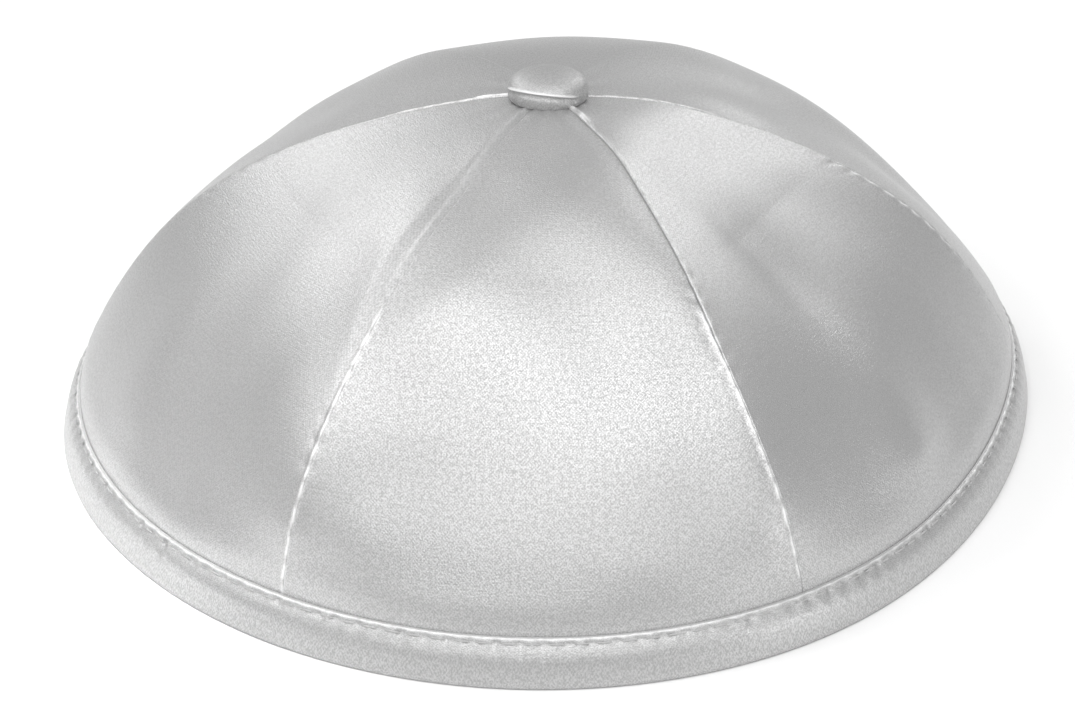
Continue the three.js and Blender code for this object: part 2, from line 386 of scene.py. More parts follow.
# side: which panel has it, the one before the seam or the one after it, going round.
# at: how far it lies from the seam. height: above 0 stands proud. It runs from top to foot.
# the last column: how strong a painted highlight, white in the cloth's colour, is laid along it.
SEAM_SWELLS = table(
    "seam side at width height top foot pull",
    ("front_left", "before", 1.1, 0.5, 0.1, 0.08, 0.5, 0.15),
    ("front_left", "before", 0.25, 0.42, 0.2, 0.6, 0.97, 1.0),
    ("front_left", "after", 0.0, 0.3, 0.12, 0.6, 0.97, 0.5),
    ("front_right", "before", 0.0, 2.6, -0.3, 0.12, 0.62, 0.0),
    ("front_right", "after", 0.7, 0.6, 0.3, 0.05, 0.09, 0.8),
    ("front_right", "after", 0.3, 0.4, 0.05, 0.05, 0.6, 0.3),
    ("front_right", "before", 0.3, 0.45, 0.2, 0.6, 0.95, 0.9),
    ("front_right", "after", 0.0, 0.3, 0.1, 0.6, 0.95, 0.4),
    ("left", "before", 0.6, 0.5, 0.35, 0.05, 0.1, 0.9),
    ("left", "before", 0.4, 0.35, 0.18, 0.07, 0.24, 0.8),
    ("right", "after", 0.4, 0.35, 0.16, 0.07, 0.26, 0.8),
    ("right", "before", 0.5, 0.5, 0.12, 0.58, 0.76, 0.7),
    ("back_right", "before", 0.9, 0.7, 0.15, 0.6, 0.95, 0.2),
    ("back_left", "after", 0.9, 0.7, 0.15, 0.6, 0.95, 0.2),
)
RUN_FADE = 0.05
STITCH_PITCH = 3.6
PUCKERS = table(
    "side height reach top foot",
    ("before", 0.16, 1.5, 0.5, 0.97),
    ("after", 0.08, 1.8, 0.5, 0.97),
    ("before", 0.015, 2.5, 0.05, 0.5),
    ("after", 0.015, 2.5, 0.05, 0.5),
)
PUCKER_LEAST = 0.4
PUCKER_SLANT = 0.9
UNEVEN_WAVES = table(
    "pace start",
    (1.7, 12.9),
    (2.9, 7.3),
    (0.61, 3.1),
)


def swells(name, side):
    """The rows of the table for one side of one seam."""
    return [row for row in SEAM_SWELLS if row["seam"] == name and row["side"] == side]


def runs(share, row):
    """1 between a row's top and foot, fading to 0 past them."""
    begun = smoothstep(share, row["top"] - RUN_FADE, row["top"])
    ended = smoothstep(share, row["foot"], row["foot"] + RUN_FADE)
    return begun * (1 - ended)


def uneven(place_on, seed):
    """A wandering number from 0 to 1, the same each time, for work done by hand."""
    waves = [np.sin(place_on * row["pace"] + seed * row["start"]) for row in UNEVEN_WAVES]
    return 0.5 + sum(waves) / (2 * len(waves))


def seam_height(name, side, distance, share):
    """How far the cloth beside a seam stands out from the panel's own face."""
    rolled = np.clip(1 - distance / ROLL_WIDTH, 0, 1)
    height = -ROLLS[name] * (1 - np.sqrt(1 - rolled**2))
    for row in swells(name, side):
        swell = row["height"] * bell(distance - row["at"], row["width"])
        height = height + swell * runs(share, row)
    seed = list(SEAMS).index(name)
    stitch = share * SLOPE_LENGTH / STITCH_PITCH
    for row in PUCKERS:
        if row["side"] == side:
            pull = 0.5 + 0.5 * np.cos(2 * np.pi * stitch + PUCKER_SLANT * distance)
            hand = PUCKER_LEAST + uneven(stitch, seed)
            depth = row["height"] * hand * bell(distance, row["reach"])
            height = height - depth * pull**2 * runs(share, row)
    return height


print("swells beside the seams:", len(SEAM_SWELLS))

# %% [markdown]
# The thin white lines where the rolled edges beside a seam catch the light are a painted highlight
# in the cloth's colour. They could be painted by hand, but they follow the same stitches as the
# puckers, so they are worked out from the same table, in a segment for each stitch, and kept with
# the mesh for the material.

# %% Painted highlight beside a seam
SEGMENT_DRIFT = 1.2
SEGMENT_PACE = 1.3
SEGMENT_EDGE = {"from": -0.9, "to": 0.2}
HIGHLIGHT_BETWEEN = 0.25
HIGHLIGHT_LEAST = 0.6
HIGHLIGHT_UNEVEN = 0.5
HIGHLIGHT_PACE = 2.3
HIGHLIGHT_WIDTH = 0.7


def seam_painted_highlight(name, side, distance, share):
    """How strong the painted highlight is beside a seam, in a segment for each stitch."""
    seed = list(SEAMS).index(name)
    stitch = share * SLOPE_LENGTH / STITCH_PITCH
    wave = np.cos(2 * np.pi * stitch + SEGMENT_DRIFT * np.sin(stitch * SEGMENT_PACE))
    segment = lerp(HIGHLIGHT_BETWEEN, 1, smoothstep(wave, SEGMENT_EDGE["from"], SEGMENT_EDGE["to"]))
    segment = segment * (HIGHLIGHT_LEAST + HIGHLIGHT_UNEVEN * uneven(stitch * HIGHLIGHT_PACE, seed))
    pull = 0
    for row in swells(name, side):
        line = row["pull"] * bell(distance - row["at"], HIGHLIGHT_WIDTH * row["width"])
        pull = pull + line * runs(share, row)
    return pull * segment


at_foot = seam_painted_highlight("front_left", "before", 0.25, np.linspace(0.6, 0.95, 50))
print("pull along the foot of the front left seam:", at_foot.min().round(2), at_foot.max().round(2))

# %% [markdown]
# Near the button the six points of cloth are gathered under it, which leaves fine radial creases.
# Just above the band the cloth swells a little over the band's turned edge, where the stitches
# hold it in, and lies in slow ripples. Each could be a dent in one panel, but they cross the
# seams, so they are waves round the whole crown, and so is the slow unevenness of the cloth.

# %% Gathers at the button and the swell above the band
GATHERS = 17
GATHER_HEIGHT = 0.12
GATHER_REACH = 5.0
GATHER_DRIFT = 2.0
GATHERED_UNDER = 0.5
GATHER_HAND = {"least": 0.4, "most": 0.6, "degrees": 9, "seed": 3}
BUTTON_RADIUS = 6.65
FOOT_SWELL = 0.35
FOOT_SWELL_AT = 0.972
FOOT_SWELL_WIDTH = 0.03
FOOT_SWELL_END = 0.006
RIPPLE_LENGTH = 9.0
RIPPLE_HEIGHT = 0.03
RIPPLE_DRIFT = 3
RIPPLE_HAND = {"least": 0.3, "most": 1, "degrees": 7, "seed": 5}
RIPPLE_AT = 0.93
RIPPLE_WIDTH = 0.07
WANDER_HEIGHT = 0.1
WANDER_LENGTH = 22.0


def by_hand(place_on, hand):
    """A factor for work that is a little different each time."""
    return hand["least"] + hand["most"] * uneven(place_on / hand["degrees"], hand["seed"])


def fine_height(azimuth, share, radius):
    """How far the gathers, the swell at the foot and the ripples stand out at a place."""
    turn = np.radians(azimuth)
    ring = np.maximum(radius - BUTTON_RADIUS + GATHERED_UNDER, 0)
    gathers = GATHER_HEIGHT * np.cos(turn * GATHERS + GATHER_DRIFT * np.sin(turn * 2))
    height = gathers * np.exp(-ring / GATHER_REACH) * by_hand(azimuth, GATHER_HAND)
    swell = FOOT_SWELL * bell(share - FOOT_SWELL_AT, FOOT_SWELL_WIDTH)
    height = height + swell * smoothstep(1 - share, 0, FOOT_SWELL_END)
    around = turn * RIM_RADIUS / RIPPLE_LENGTH * 2 * np.pi
    ripples = np.sin(around + RIPPLE_DRIFT * np.sin(turn * 3)) * by_hand(azimuth, RIPPLE_HAND)
    return height + RIPPLE_HEIGHT * ripples * bell(share - RIPPLE_AT, RIPPLE_WIDTH)


def wander(points):
    """Slow unevenness: one noise over the whole crown, so it carries on across the seams."""
    values = [noise.noise(Vector(p) / WANDER_LENGTH) for p in points.reshape(-1, 3)]
    return WANDER_HEIGHT * np.array(values).reshape(points.shape[:-1])


foot = fine_height(0.0, FOOT_SWELL_AT, RIM_RADIUS).round(2)
print("the cloth stands out by", foot, "mm at its foot")

# %% [markdown]
# A panel starts as a flat grid that bmesh divides and thickens, and is then bent into place. The
# grid could be draped by a cloth simulation instead, but a sewn and pressed crown holds its shape,
# and the seams would be lost. Columns are closer together beside the seams, where the edges roll.

# %% Places on a panel
PANEL_COLUMNS = 110
PANEL_ROWS = 210
SKIRT_SHARE = 0.06
SKIRT_FOOT = BAND_FLOOR + GAP
EDGE_CROWDING = 0.9


def panel_place(panel, across, down):
    """The azimuth, share and skirt of places given as shares of a panel's width and length."""
    first, second = PANELS[panel]
    crowded = across - EDGE_CROWDING * np.sin(2 * np.pi * across) / (2 * np.pi)
    share = np.clip(lerp(HOLE_RADIUS / SLOPE_LENGTH, 1, down / (1 - SKIRT_SHARE)), 0, 1)
    skirt = np.clip((down - 1 + SKIRT_SHARE) / SKIRT_SHARE, 0, 1)
    left = seam_azimuth(first, share)
    width = (seam_azimuth(second, share) - left) % 360
    radius = crown_profile(left + width / 2, share)[0]
    half = np.degrees(SEAM_GAP / 2 / radius)
    return lerp(left + half, left + width - half, crowded), share, skirt


def edge_distances(panel, azimuth, share, radius):
    """How far places lie from the panel's first seam and from its second one."""
    first, second = PANELS[panel]
    from_first = np.radians((azimuth - seam_azimuth(first, share)) % 360) * radius
    from_second = np.radians((seam_azimuth(second, share) - azimuth) % 360) * radius
    return from_first, from_second


for panel in PANELS:
    ends = panel_place(panel, np.array([0.0, 1.0]), np.array([1.0, 1.0]))[0]
    print(panel, "runs from", ends.round(1), "degrees at its foot")

# %% Bend a panel into shape
NORMAL_FROM = 0.012
FOLD_FADE = 0.1
INNER_ROLL = 0.25
INNER_ROLL_WIDTH = 0.6


def crown_cloth(panel, azimuth, share, inside):
    """The points of a panel above the band, on its outer and its inner face."""
    radius, height = crown_profile(azimuth, share)
    kept = lerp(flatness(azimuth, share), 1, from_table(ROUNDNESS, "round", share))
    point = placed(azimuth, radius * kept, height)
    normal = crown_normal(azimuth, np.maximum(share, NORMAL_FROM))
    fade = smoothstep(share, 0, FOLD_FADE) * smoothstep(1 - share, 0, FOLD_FADE)
    soft = -fold_depth(azimuth, share) * fade + wander(point) * fade
    from_first, from_second = edge_distances(panel, azimuth, share, radius)
    first, second = PANELS[panel]
    rolls = seam_height(first, "after", from_first, share)
    rolls = rolls + seam_height(second, "before", from_second, share)
    outer = soft + rolls + fine_height(azimuth, share, radius)
    nearest = np.minimum(from_first, from_second)
    inner = soft - CLOTH + INNER_ROLL * bell(nearest, INNER_ROLL_WIDTH)
    return point + normal * np.where(inside, inner, outer)[..., None]


def band_point(azimuth, depth, height):
    """A point at a depth behind the band's leaning outer face."""
    lean = BAND_LEAN * (1 - height / BAND_HEIGHT)
    return placed(azimuth, rim_radius(azimuth) + lean - depth, height)


def skirt_cloth(azimuth, skirt, inside):
    """The points of a panel's foot, which hangs in the band's slot."""
    depth = BAND_WALL + GAP + np.where(inside, CLOTH, 0)
    return band_point(azimuth, depth, lerp(BAND_HEIGHT, SKIRT_FOOT, skirt))


# %% Build the six panels
PANEL_MAP = 100
PANEL_MAP_TOP = 1.1


def place(mesh_in_progress, points):
    for vertex, point in zip(mesh_in_progress.verts, points):
        vertex.co = Vector(point) * MM


def finished(name, mesh_in_progress):
    """Turns a bmesh into an object of the scene, with its origin at the frame's origin."""
    mesh = bpy.data.meshes.new(name)
    mesh_in_progress.to_mesh(mesh)
    mesh_in_progress.free()
    mesh.shade_smooth()
    piece = bpy.data.objects.new(name, mesh)
    bpy.context.scene.collection.objects.link(piece)
    print(f"{name}: {len(mesh.vertices)} vertices, {len(mesh.polygons)} faces")
    return piece


def make_panel(panel):
    slab = bmesh.new()
    cloth = slab.loops.layers.uv.new("Cloth")
    lining = slab.verts.layers.float.new("lining")
    painted_highlight = slab.verts.layers.float.new("painted_highlight")
    bmesh.ops.create_grid(slab, x_segments=PANEL_COLUMNS, y_segments=PANEL_ROWS, size=0.5)
    bmesh.ops.solidify(slab, geom=slab.faces[:], thickness=1)
    flat = np.array([vertex.co for vertex in slab.verts])
    inside = np.abs(flat[:, 2]) > 0.5
    azimuth, share, skirt = panel_place(panel, flat[:, 0] + 0.5, 0.5 - flat[:, 1])
    crown = crown_cloth(panel, azimuth, share, inside)
    foot = skirt_cloth(azimuth, skirt, inside)
    radius = crown_profile(azimuth, share)[0]
    from_first, from_second = edge_distances(panel, azimuth, share, radius)
    first, second = PANELS[panel]
    # A painted highlight, white, along the rolled edges beside the seams, kept for the material.
    painted_highlights = seam_painted_highlight(first, "after", from_first, share)
    painted_highlights = painted_highlights + seam_painted_highlight(second, "before", from_second, share)
    for vertex, inner, pull in zip(slab.verts, inside, painted_highlights):
        vertex[lining] = float(inner)
        vertex[painted_highlight] = 0.0 if inner else min(1.0, pull)
    across = (from_first - from_second) / 2
    down = share * SLOPE_LENGTH + skirt * BAND_HEIGHT
    for face in slab.faces:
        for loop in face.loops:
            i = loop.vert.index
            loop[cloth].uv = (across[i] / PANEL_MAP + 0.5, PANEL_MAP_TOP - down[i] / PANEL_MAP)
    place(slab, np.where((skirt > 0)[..., None], foot, crown))
    bmesh.ops.recalc_face_normals(slab, faces=slab.faces)
    return finished("satin_" + panel, slab)


panels = {panel: make_panel(panel) for panel in PANELS}

# %% [markdown]
# The rim band is one strip folded up round the crown's edge. It could be swept along a curve, but
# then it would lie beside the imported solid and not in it. Its section, up the outside, down into
# the slot for the crown's edge and up and down the inside, is a short table of places. A flat grid
# is wrapped once round that section and once round the rim, and its meeting edges are merged.

# %% Section of the band
BAND_SECTION = table(
    "depth height",
    (0.5, 0.0),
    (0.03, 0.22),
    (-0.14, 1.0),
    (-0.24, 2.3),
    (-0.28, 3.5),
    (-0.22, 4.6),
    (-0.06, 5.3),
    (0.14, 5.8),
    (0.32, 6.2),
    (0.47, 6.5),
    (0.52, 6.8),
    (0.64, 7.1),
    (0.86, 7.26),
    (1.08, 7.28),
    (1.26, 7.28),
    (1.3, 7.0),
    (1.28, 6.5),
    (1.08, 5.8),
    (1.0, 4.0),
    (1.0, 1.6),
    (1.3, 1.3),
    (2.3, 1.3),
    (2.6, 1.6),
    (2.6, 4.0),
    (2.6, 6.4),
    (2.75, 7.1),
    (3.1, 7.28),
    (3.45, 7.05),
    (3.6, 6.4),
    (3.55, 5.4),
    (3.65, 4.2),
    (3.65, 2.4),
    (3.55, 0.9),
    (3.3, 0.25),
    (2.85, 0.0),
    (1.8, 0.0),
)
SECTION_LENGTH = 30


def smooth_loop(rows, column, part):
    """A smooth closed line through one column of a table, at parts of the way round it."""
    values = np.array([row[column] for row in rows])
    count = len(values)
    place_on = (part % 1) * count
    start = place_on.astype(int)
    part = place_on - start
    a, b, c, d = (values[(start + step) % count] for step in (-1, 0, 1, 2))
    bend = 2 * a - 5 * b + 4 * c - d
    twist = 3 * b - a - 3 * c + d
    return 0.5 * (2 * b + (c - a) * part + bend * part**2 + twist * part**3)


print(len(BAND_SECTION), "places round the band's section")

# %% Distances round the rim
RIM_SAMPLES = 1441
RIM_TURNS = np.linspace(0, 360, RIM_SAMPLES)
RIM_LENGTHS = np.cumsum(rim_radius(RIM_TURNS)) * math.radians(RIM_TURNS[1])
RIM_LENGTHS = RIM_LENGTHS - RIM_LENGTHS[0]
RIM_LENGTH = RIM_LENGTHS[-1]


def around_rim(azimuth):
    """The distance round the rim from the front, in millimetres."""
    return np.interp(azimuth, RIM_TURNS, RIM_LENGTHS)


STITCHES = round(RIM_LENGTH / STITCH_PITCH)
print("the rim is", round(RIM_LENGTH), "mm round, with", STITCHES, "stitches")

# %% [markdown]
# The needle draws the band in at each stitch, so between two holes its face swells in small ticks
# and its edge scallops, and further down the pull runs out into shallow pleats. A row of the
# table is one of these parts, with its height, the level where it lies and how far it spreads.

# %% Relief of the band
STITCH_LEVEL = 6.55
STITCH_DEPTH = 0.48
BAND_RELIEF = table(
    "part height level spread",
    ("hole", -0.32, STITCH_LEVEL, 0.45),
    ("scallop", 0.08, 7.0, 0.5),
    ("tick", 0.2, 6.5, 0.35),
    ("pleat", 0.08, 5.5, 0.9),
    ("wave", 0.06, 2.5, 2.0),
)
RELIEF_LEAST = 0.5
RELIEF_SEED = 2
HOLE_SHARPNESS = 3
SCALLOP_LAG = 1.5
TICK_DRIFT = 2.0
TICK_PACE = 1.9
TICK_SLANT = 0.8
PLEAT_SLANT = 0.6
PLEAT_LEVEL = 5
SLOW_WAVE = 13
QUICK_WAVE = 7.7
QUICK_WAVE_LAG = 2
RELIEF_DEPTH = 0.8


def band_relief(azimuth, depth, height):
    """How far the band's outer face stands out where its stitches draw it in."""
    travelled = around_rim(azimuth)
    stitch = travelled / RIM_LENGTH * STITCHES
    turn = 2 * np.pi * stitch
    hand = RELIEF_LEAST + uneven(stitch, RELIEF_SEED)
    drift = TICK_DRIFT * np.sin(stitch * TICK_PACE)
    parts = {
        "hole": hand * (0.5 - 0.5 * np.cos(turn)) ** HOLE_SHARPNESS,
        "scallop": hand * np.cos(turn + SCALLOP_LAG),
        "tick": hand * np.cos(2 * turn + drift + TICK_SLANT * height),
        "pleat": hand * np.cos(turn + PLEAT_SLANT * (height - PLEAT_LEVEL)),
        "wave": np.sin(travelled / SLOW_WAVE) + np.sin(travelled / QUICK_WAVE + QUICK_WAVE_LAG),
    }
    relief = 0
    for row in BAND_RELIEF:
        spread = bell(height - row["level"], row["spread"])
        relief = relief + row["height"] * parts[row["part"]] * spread
    return relief * (depth < RELIEF_DEPTH)


along_front = band_relief(np.linspace(0, 20, 400), 0.3, STITCH_LEVEL)
lowest, highest = along_front.min().round(2), along_front.max().round(2)
print("relief along the stitches: from", lowest, "to", highest, "mm")

# %% Make the band
BAND_STEPS = 900
SECTION_STEPS = 66
BAND_MAP = 600
BAND_FACE_DEPTH = 1.0
# A painted highlight, white, along the band's turned-in top edge, broken up along the rim.
EDGE_HIGHLIGHT = 0.9
EDGE_DEPTH = 0.75
EDGE_SPREAD = 0.12
EDGE_LEVEL = {"from": 6.9, "to": 7.1}
EDGE_PACE = 1.9
EDGE_HAND = {"least": 0.35, "most": 0.65, "seed": 4}


def edge_painted_highlight(azimuth, depth, height):
    """How strong the painted highlight is along the line where the band's edge is turned in."""
    line = EDGE_HIGHLIGHT * bell(depth - EDGE_DEPTH, EDGE_SPREAD)
    line = line * smoothstep(height, EDGE_LEVEL["from"], EDGE_LEVEL["to"])
    highlight_breakup = uneven(around_rim(azimuth) * EDGE_PACE, EDGE_HAND["seed"])
    return line * (EDGE_HAND["least"] + EDGE_HAND["most"] * highlight_breakup)


def make_band():
    strip = bmesh.new()
    cloth = strip.loops.layers.uv.new("Cloth")
    lining = strip.verts.layers.float.new("lining")
    painted_highlight = strip.verts.layers.float.new("painted_highlight")
    bmesh.ops.create_grid(strip, x_segments=BAND_STEPS, y_segments=SECTION_STEPS, size=0.5)
    flat = np.array([v.co for v in strip.verts])
    azimuth = (flat[:, 0] + 0.5) * 360
    part = flat[:, 1] + 0.5
    depth, height = (smooth_loop(BAND_SECTION, column, part) for column in ("depth", "height"))
    height = np.clip(height, 0, BAND_HEIGHT)
    points = band_point(azimuth, depth - band_relief(azimuth, depth, height), height)
    # The painted highlight along the band's turned edge is kept with the mesh for the material.
    painted_highlights = edge_painted_highlight(azimuth, depth, height)
    for vertex, inner, pull in zip(strip.verts, depth > BAND_FACE_DEPTH, painted_highlights):
        vertex[lining] = float(inner)
        vertex[painted_highlight] = pull
    along = around_rim(azimuth) / BAND_MAP
    for face in strip.faces:
        for loop in face.loops:
            i = loop.vert.index
            loop[cloth].uv = (along[i], part[i] * SECTION_LENGTH / BAND_MAP)
    place(strip, points)
    bmesh.ops.remove_doubles(strip, verts=strip.verts, dist=0.00001)
    bmesh.ops.recalc_face_normals(strip, faces=strip.faces)
    return finished("satin_rim_band", strip)


band = make_band()

# %% [markdown]
# One line of stitches holds the band. The thread shows as short grains lying in the groove, one
# for each stitch, a little apart where the needle went in. A curve with a round section would give
# one smooth wire, so one grain is made and copied round the rim instead.

# %% Stitches of the band
THREAD = 0.34
STITCH_LENGTH = 2.3
STITCH_WANDER = 0.03
STITCH_WANDER_PACE = 2.3
STITCH_BLUNTNESS = 0.6
BESIDE_STITCH = 0.5


def make_band_stitches():
    line = bmesh.new()
    for step in range(STITCHES):
        shifted = step + STITCH_WANDER * math.sin(step * STITCH_WANDER_PACE)
        azimuth = np.interp(shifted * RIM_LENGTH / STITCHES, RIM_LENGTHS, RIM_TURNS)
        ends = [
            band_point(np.array(azimuth + side), STITCH_DEPTH, STITCH_LEVEL)
            for side in (-BESIDE_STITCH, BESIDE_STITCH)
        ]
        along = Vector(ends[1] - ends[0]).normalized()
        out = along.cross(Vector((0, 0, 1))).normalized()
        up = out.cross(along)
        made = bmesh.ops.create_uvsphere(line, u_segments=8, v_segments=7, radius=0.5)["verts"]
        middle = Vector((ends[0] + ends[1]) / 2)
        for vertex in made:
            x, y, z = vertex.co
            blunt = math.copysign(abs(2 * z) ** STITCH_BLUNTNESS, z) / 2
            section = out * x * THREAD + up * y * THREAD
            vertex.co = (middle + along * blunt * STITCH_LENGTH + section) * MM
    bmesh.ops.recalc_face_normals(line, faces=line.faces)
    return finished("band_stitches", line)


stitches = make_band_stitches()

# %% [markdown]
# The button is a disc covered with the same satin, gathered at its back and sewn through the
# crown. A squashed ball would be rounder than it, so its profile is spun round its own axis.
# Across the front the cover has slipped into a fold, a lip that stands over the button's side, so
# that lip is pushed out after the spin, and the cloth under it is drawn in. Along its top the lip
# carries a painted highlight, white.

# %% Covered button
BUTTON_PROFILE = table(
    "radius height",
    (0, -2.2),
    (1.2, -2.2),
    (1.6, -1.8),
    (1.6, 0.1),
    (3.0, 0.1),
    (5.4, -0.3),
    (6.1, -0.4),
    (6.5, -0.1),
    (6.65, 0.6),
    (6.62, 1.4),
    (6.5, 2.0),
    (6.2, 2.55),
    (5.6, 3.05),
    (4.6, 3.5),
    (3.2, 3.85),
    (1.6, 4.05),
    (0, 4.1),
)
LIP_MIDDLE = -20
LIP_HEIGHT = 2.65
LIP_DROP = 1.45
LIP_SPREAD = 75
LIP_FROM = -92
LIP_FADE_IN = 25
LIP_TO = 50
LIP_FADE_OUT = 12
LIP_OUT = 0.34
LIP_WIDTH = 0.2
HOLLOW_IN = 0.25
HOLLOW_BELOW = 0.6
HOLLOW_WIDTH = 0.4
# A painted highlight, white, along the top of the lip.
LIP_HIGHLIGHT = 0.9
LIP_HIGHLIGHT_WIDTH = 0.16
BUTTON_PUCKERS = 23
BUTTON_PUCKER_DEPTH = 0.05
BUTTON_PUCKER_AT = 0.6
BUTTON_PUCKER_WIDTH = 0.8


def along_lip(azimuth):
    """1 along the lip across the front, fading to 0 past its ends."""
    begun = smoothstep(azimuth, LIP_FROM, LIP_FROM + LIP_FADE_IN)
    ended = smoothstep(azimuth, LIP_TO - LIP_FADE_OUT, LIP_TO)
    return float(begun * (1 - ended))


def cover_fold(azimuth, height):
    """How far the button's cover stands out at a place, and the painted highlight on its lip."""
    front = along_lip(azimuth)
    over = height - LIP_HEIGHT + LIP_DROP * ((azimuth - LIP_MIDDLE) / LIP_SPREAD) ** 2
    lip = LIP_OUT * front * bell(over, LIP_WIDTH)
    hollow = HOLLOW_IN * front * bell(over + HOLLOW_BELOW, HOLLOW_WIDTH)
    pucker = BUTTON_PUCKER_DEPTH * math.cos(math.radians(azimuth) * BUTTON_PUCKERS)
    pucker = pucker * bell(height - BUTTON_PUCKER_AT, BUTTON_PUCKER_WIDTH)
    return float(lip - hollow + pucker), float(LIP_HIGHLIGHT * front * bell(over, LIP_HIGHLIGHT_WIDTH))


print("the lip stands out by", round(cover_fold(LIP_MIDDLE, LIP_HEIGHT)[0], 2), "mm")

# %% Make the button
BUTTON_STEPS = 144
BUTTON_MAP = 20
COVER_FROM = 4


def spin_button():
    """The button's profile, made finer and spun into a closed body."""
    spun = bmesh.new()
    profile = [spun.verts.new((row["radius"], 0, row["height"])) for row in BUTTON_PROFILE]
    edges = [spun.edges.new(pair) for pair in zip(profile, profile[1:])]
    bmesh.ops.subdivide_edges(spun, edges=edges, cuts=3)
    bmesh.ops.spin(
        spun, geom=spun.verts[:] + spun.edges[:], cent=(0, 0, 0), axis=(0, 0, 1),
        angle=2 * math.pi, steps=BUTTON_STEPS, use_merge=True,
    )
    bmesh.ops.remove_doubles(spun, verts=spun.verts, dist=0.0001)
    bmesh.ops.smooth_vert(
        spun, verts=spun.verts, factor=0.5,
        use_axis_x=True, use_axis_y=True, use_axis_z=True,
    )
    return spun


def make_button():
    spun = spin_button()
    cloth = spun.loops.layers.uv.new("Cloth")
    for face in spun.faces:
        for loop in face.loops:
            x, y, z = loop.vert.co
            loop[cloth].uv = (x / BUTTON_MAP + 0.5, (y + z) / BUTTON_MAP + 0.5)
    painted_highlight = spun.verts.layers.float.new("painted_highlight")
    centre = Vector(placed(0.0, 0.0, CROWN_HEIGHT))
    for vertex in spun.verts:
        x, y, z = vertex.co
        radius = math.hypot(x, y)
        if radius > COVER_FROM:
            # cover_fold also gives the painted highlight along the lip, kept for the material.
            out, vertex[painted_highlight] = cover_fold(math.degrees(math.atan2(x, -y)), z)
            grown = 1 + out / radius
            vertex.co = (x * grown, y * grown, z)
        vertex.co = (vertex.co + centre) * MM
    bmesh.ops.recalc_face_normals(spun, faces=spun.faces)
    return finished("covered_button", spun)


button = make_button()

# %% [markdown]
# A finish is a small sum of patterns. Its nodes could be added one by one, but the sum would be
# hard to see among them. So a Value wraps one socket of the material, and each operator on it
# adds the Math node that it stands for. Every other node comes from one method, which takes the
# node's type, its settings and what goes into its sockets.

# %% Shader maths in Python
COLOUR_MIX = {"part": 0, "start": 6, "end": 7, "result": 2}
ATTRIBUTE_VALUE = 2


class Value:
    def __init__(self, recipe, socket):
        self.recipe = recipe
        self.socket = socket

    def math(self, operation, *values):
        sockets = dict(enumerate(values))
        return self.recipe.node("Math", {"operation": operation}, sockets)

    def __add__(self, other):
        return self.math("ADD", self, other)

    __radd__ = __add__

    def __sub__(self, other):
        return self.math("SUBTRACT", self, other)

    def __rsub__(self, other):
        return self.math("SUBTRACT", other, self)

    def __mul__(self, other):
        return self.math("MULTIPLY", self, other)

    __rmul__ = __mul__

    def sine(self):
        return self.math("SINE", self)


class Recipe:
    """A material, and the nodes that give its finish."""

    def __init__(self, name):
        self.material = bpy.data.materials.new(name)
        self.material.use_nodes = True
        self.tree = self.material.node_tree
        self.tree.nodes.clear()

    def node(self, kind, settings, sockets, output=0):
        made = self.tree.nodes.new("ShaderNode" + kind)
        for name, value in settings.items():
            setattr(made, name, value)
        for name, value in sockets.items():
            if isinstance(value, Value):
                self.tree.links.new(value.socket, made.inputs[name])
            else:
                made.inputs[name].default_value = value
        return Value(self, made.outputs[output] if made.outputs else None)

    def mix(self, part, start, end):
        """A colour between two, at a part that varies over the surface."""
        sockets = {COLOUR_MIX["part"]: part, COLOUR_MIX["start"]: start, COLOUR_MIX["end"]: end}
        return self.node("Mix", {"data_type": "RGBA"}, sockets, COLOUR_MIX["result"])

    def attribute(self, name):
        """A value that the mesh keeps at each vertex."""
        return self.node("Attribute", {"attribute_name": name}, {}, ATTRIBUTE_VALUE)

    def surface(self, sockets):
        """Ends the recipe with the one shader that all of these finishes use."""
        self.node("OutputMaterial", {}, {"Surface": self.node("BsdfPrincipled", {}, sockets)})
        print(f"{self.material.name}: {len(self.tree.nodes)} nodes")
        return self.material


# %% [markdown]
# Satin shines because most of its threads float over several others, so it has a broad, soft
# highlight that breaks into sparkling grains, with the warp and the weft just visible. A picture
# of satin would repeat and blur, so the grains are worked out in millimetres on the cloth's own
# map, and run down each panel as they do in the cut cloth. Bright grains are whiter and more
# metallic than dull ones, as threads that face the light are. Finer noises feed the roughness and
# a small bump. The mesh's own values lay a painted highlight, white and less metallic, along
# rolled and turned edges, and dull the lining.

# %% Satin
SATIN_COLOUR = (0.6, 0.6, 0.6, 1)
SATIN_DARK = (0.4, 0.4, 0.4, 1)
# The grey that the button's copy of the satin is darkened towards, as painted shade.
PAINTED_SHADE_GREY = (0.2, 0.2, 0.2, 1)
# White for the painted highlight along rolled and turned edges.
PAINTED_HIGHLIGHT_COLOUR = (0.95, 0.95, 0.95, 1)
LINING_COLOUR = (0.6, 0.6, 0.6, 1)
THREAD_PITCH = 0.55
# How many grains of each noise lie in a millimetre, and where a noise starts on the map.
PER_MM = {
    "floats_across": 0.8, "floats_down": 4.5, "glints": 3.2,
    "speckle": 3.6, "flecks": 1.5, "cloud": 0.25,
}
SPECKLE_START = 70
FLECKS_START = 30
RELIEF = {"floats": 0.35, "lattice": 0.08, "warp": 0.03}
GRAIN = {"speckle": 5.2, "flecks": 2.4, "lattice": 0.4}
SHADE = {"grain": 0.75, "floats": 0.15, "cloud": 0.1}
ROUGH = {"glints": 0.1, "lining": 0.2}
METAL = {"base": 0.5, "grain": 0.3, "lining": 0.4, "painted_highlight": 0.4}
BUMP = {"Strength": 0.7, "Distance": 0.00007}
ROUGH_NOISE = 0.7
SPECULAR = 0.15


def cloth_noise(recipe, across, down, detail, roughness=0.5):
    """A flat noise at a place on the cloth's map."""
    spot = recipe.node("CombineXYZ", {}, {"X": across, "Y": down})
    sockets = {"Vector": spot, "Scale": 1.0, "Detail": detail, "Roughness": roughness}
    return recipe.node("TexNoise", {"noise_dimensions": "2D"}, sockets)


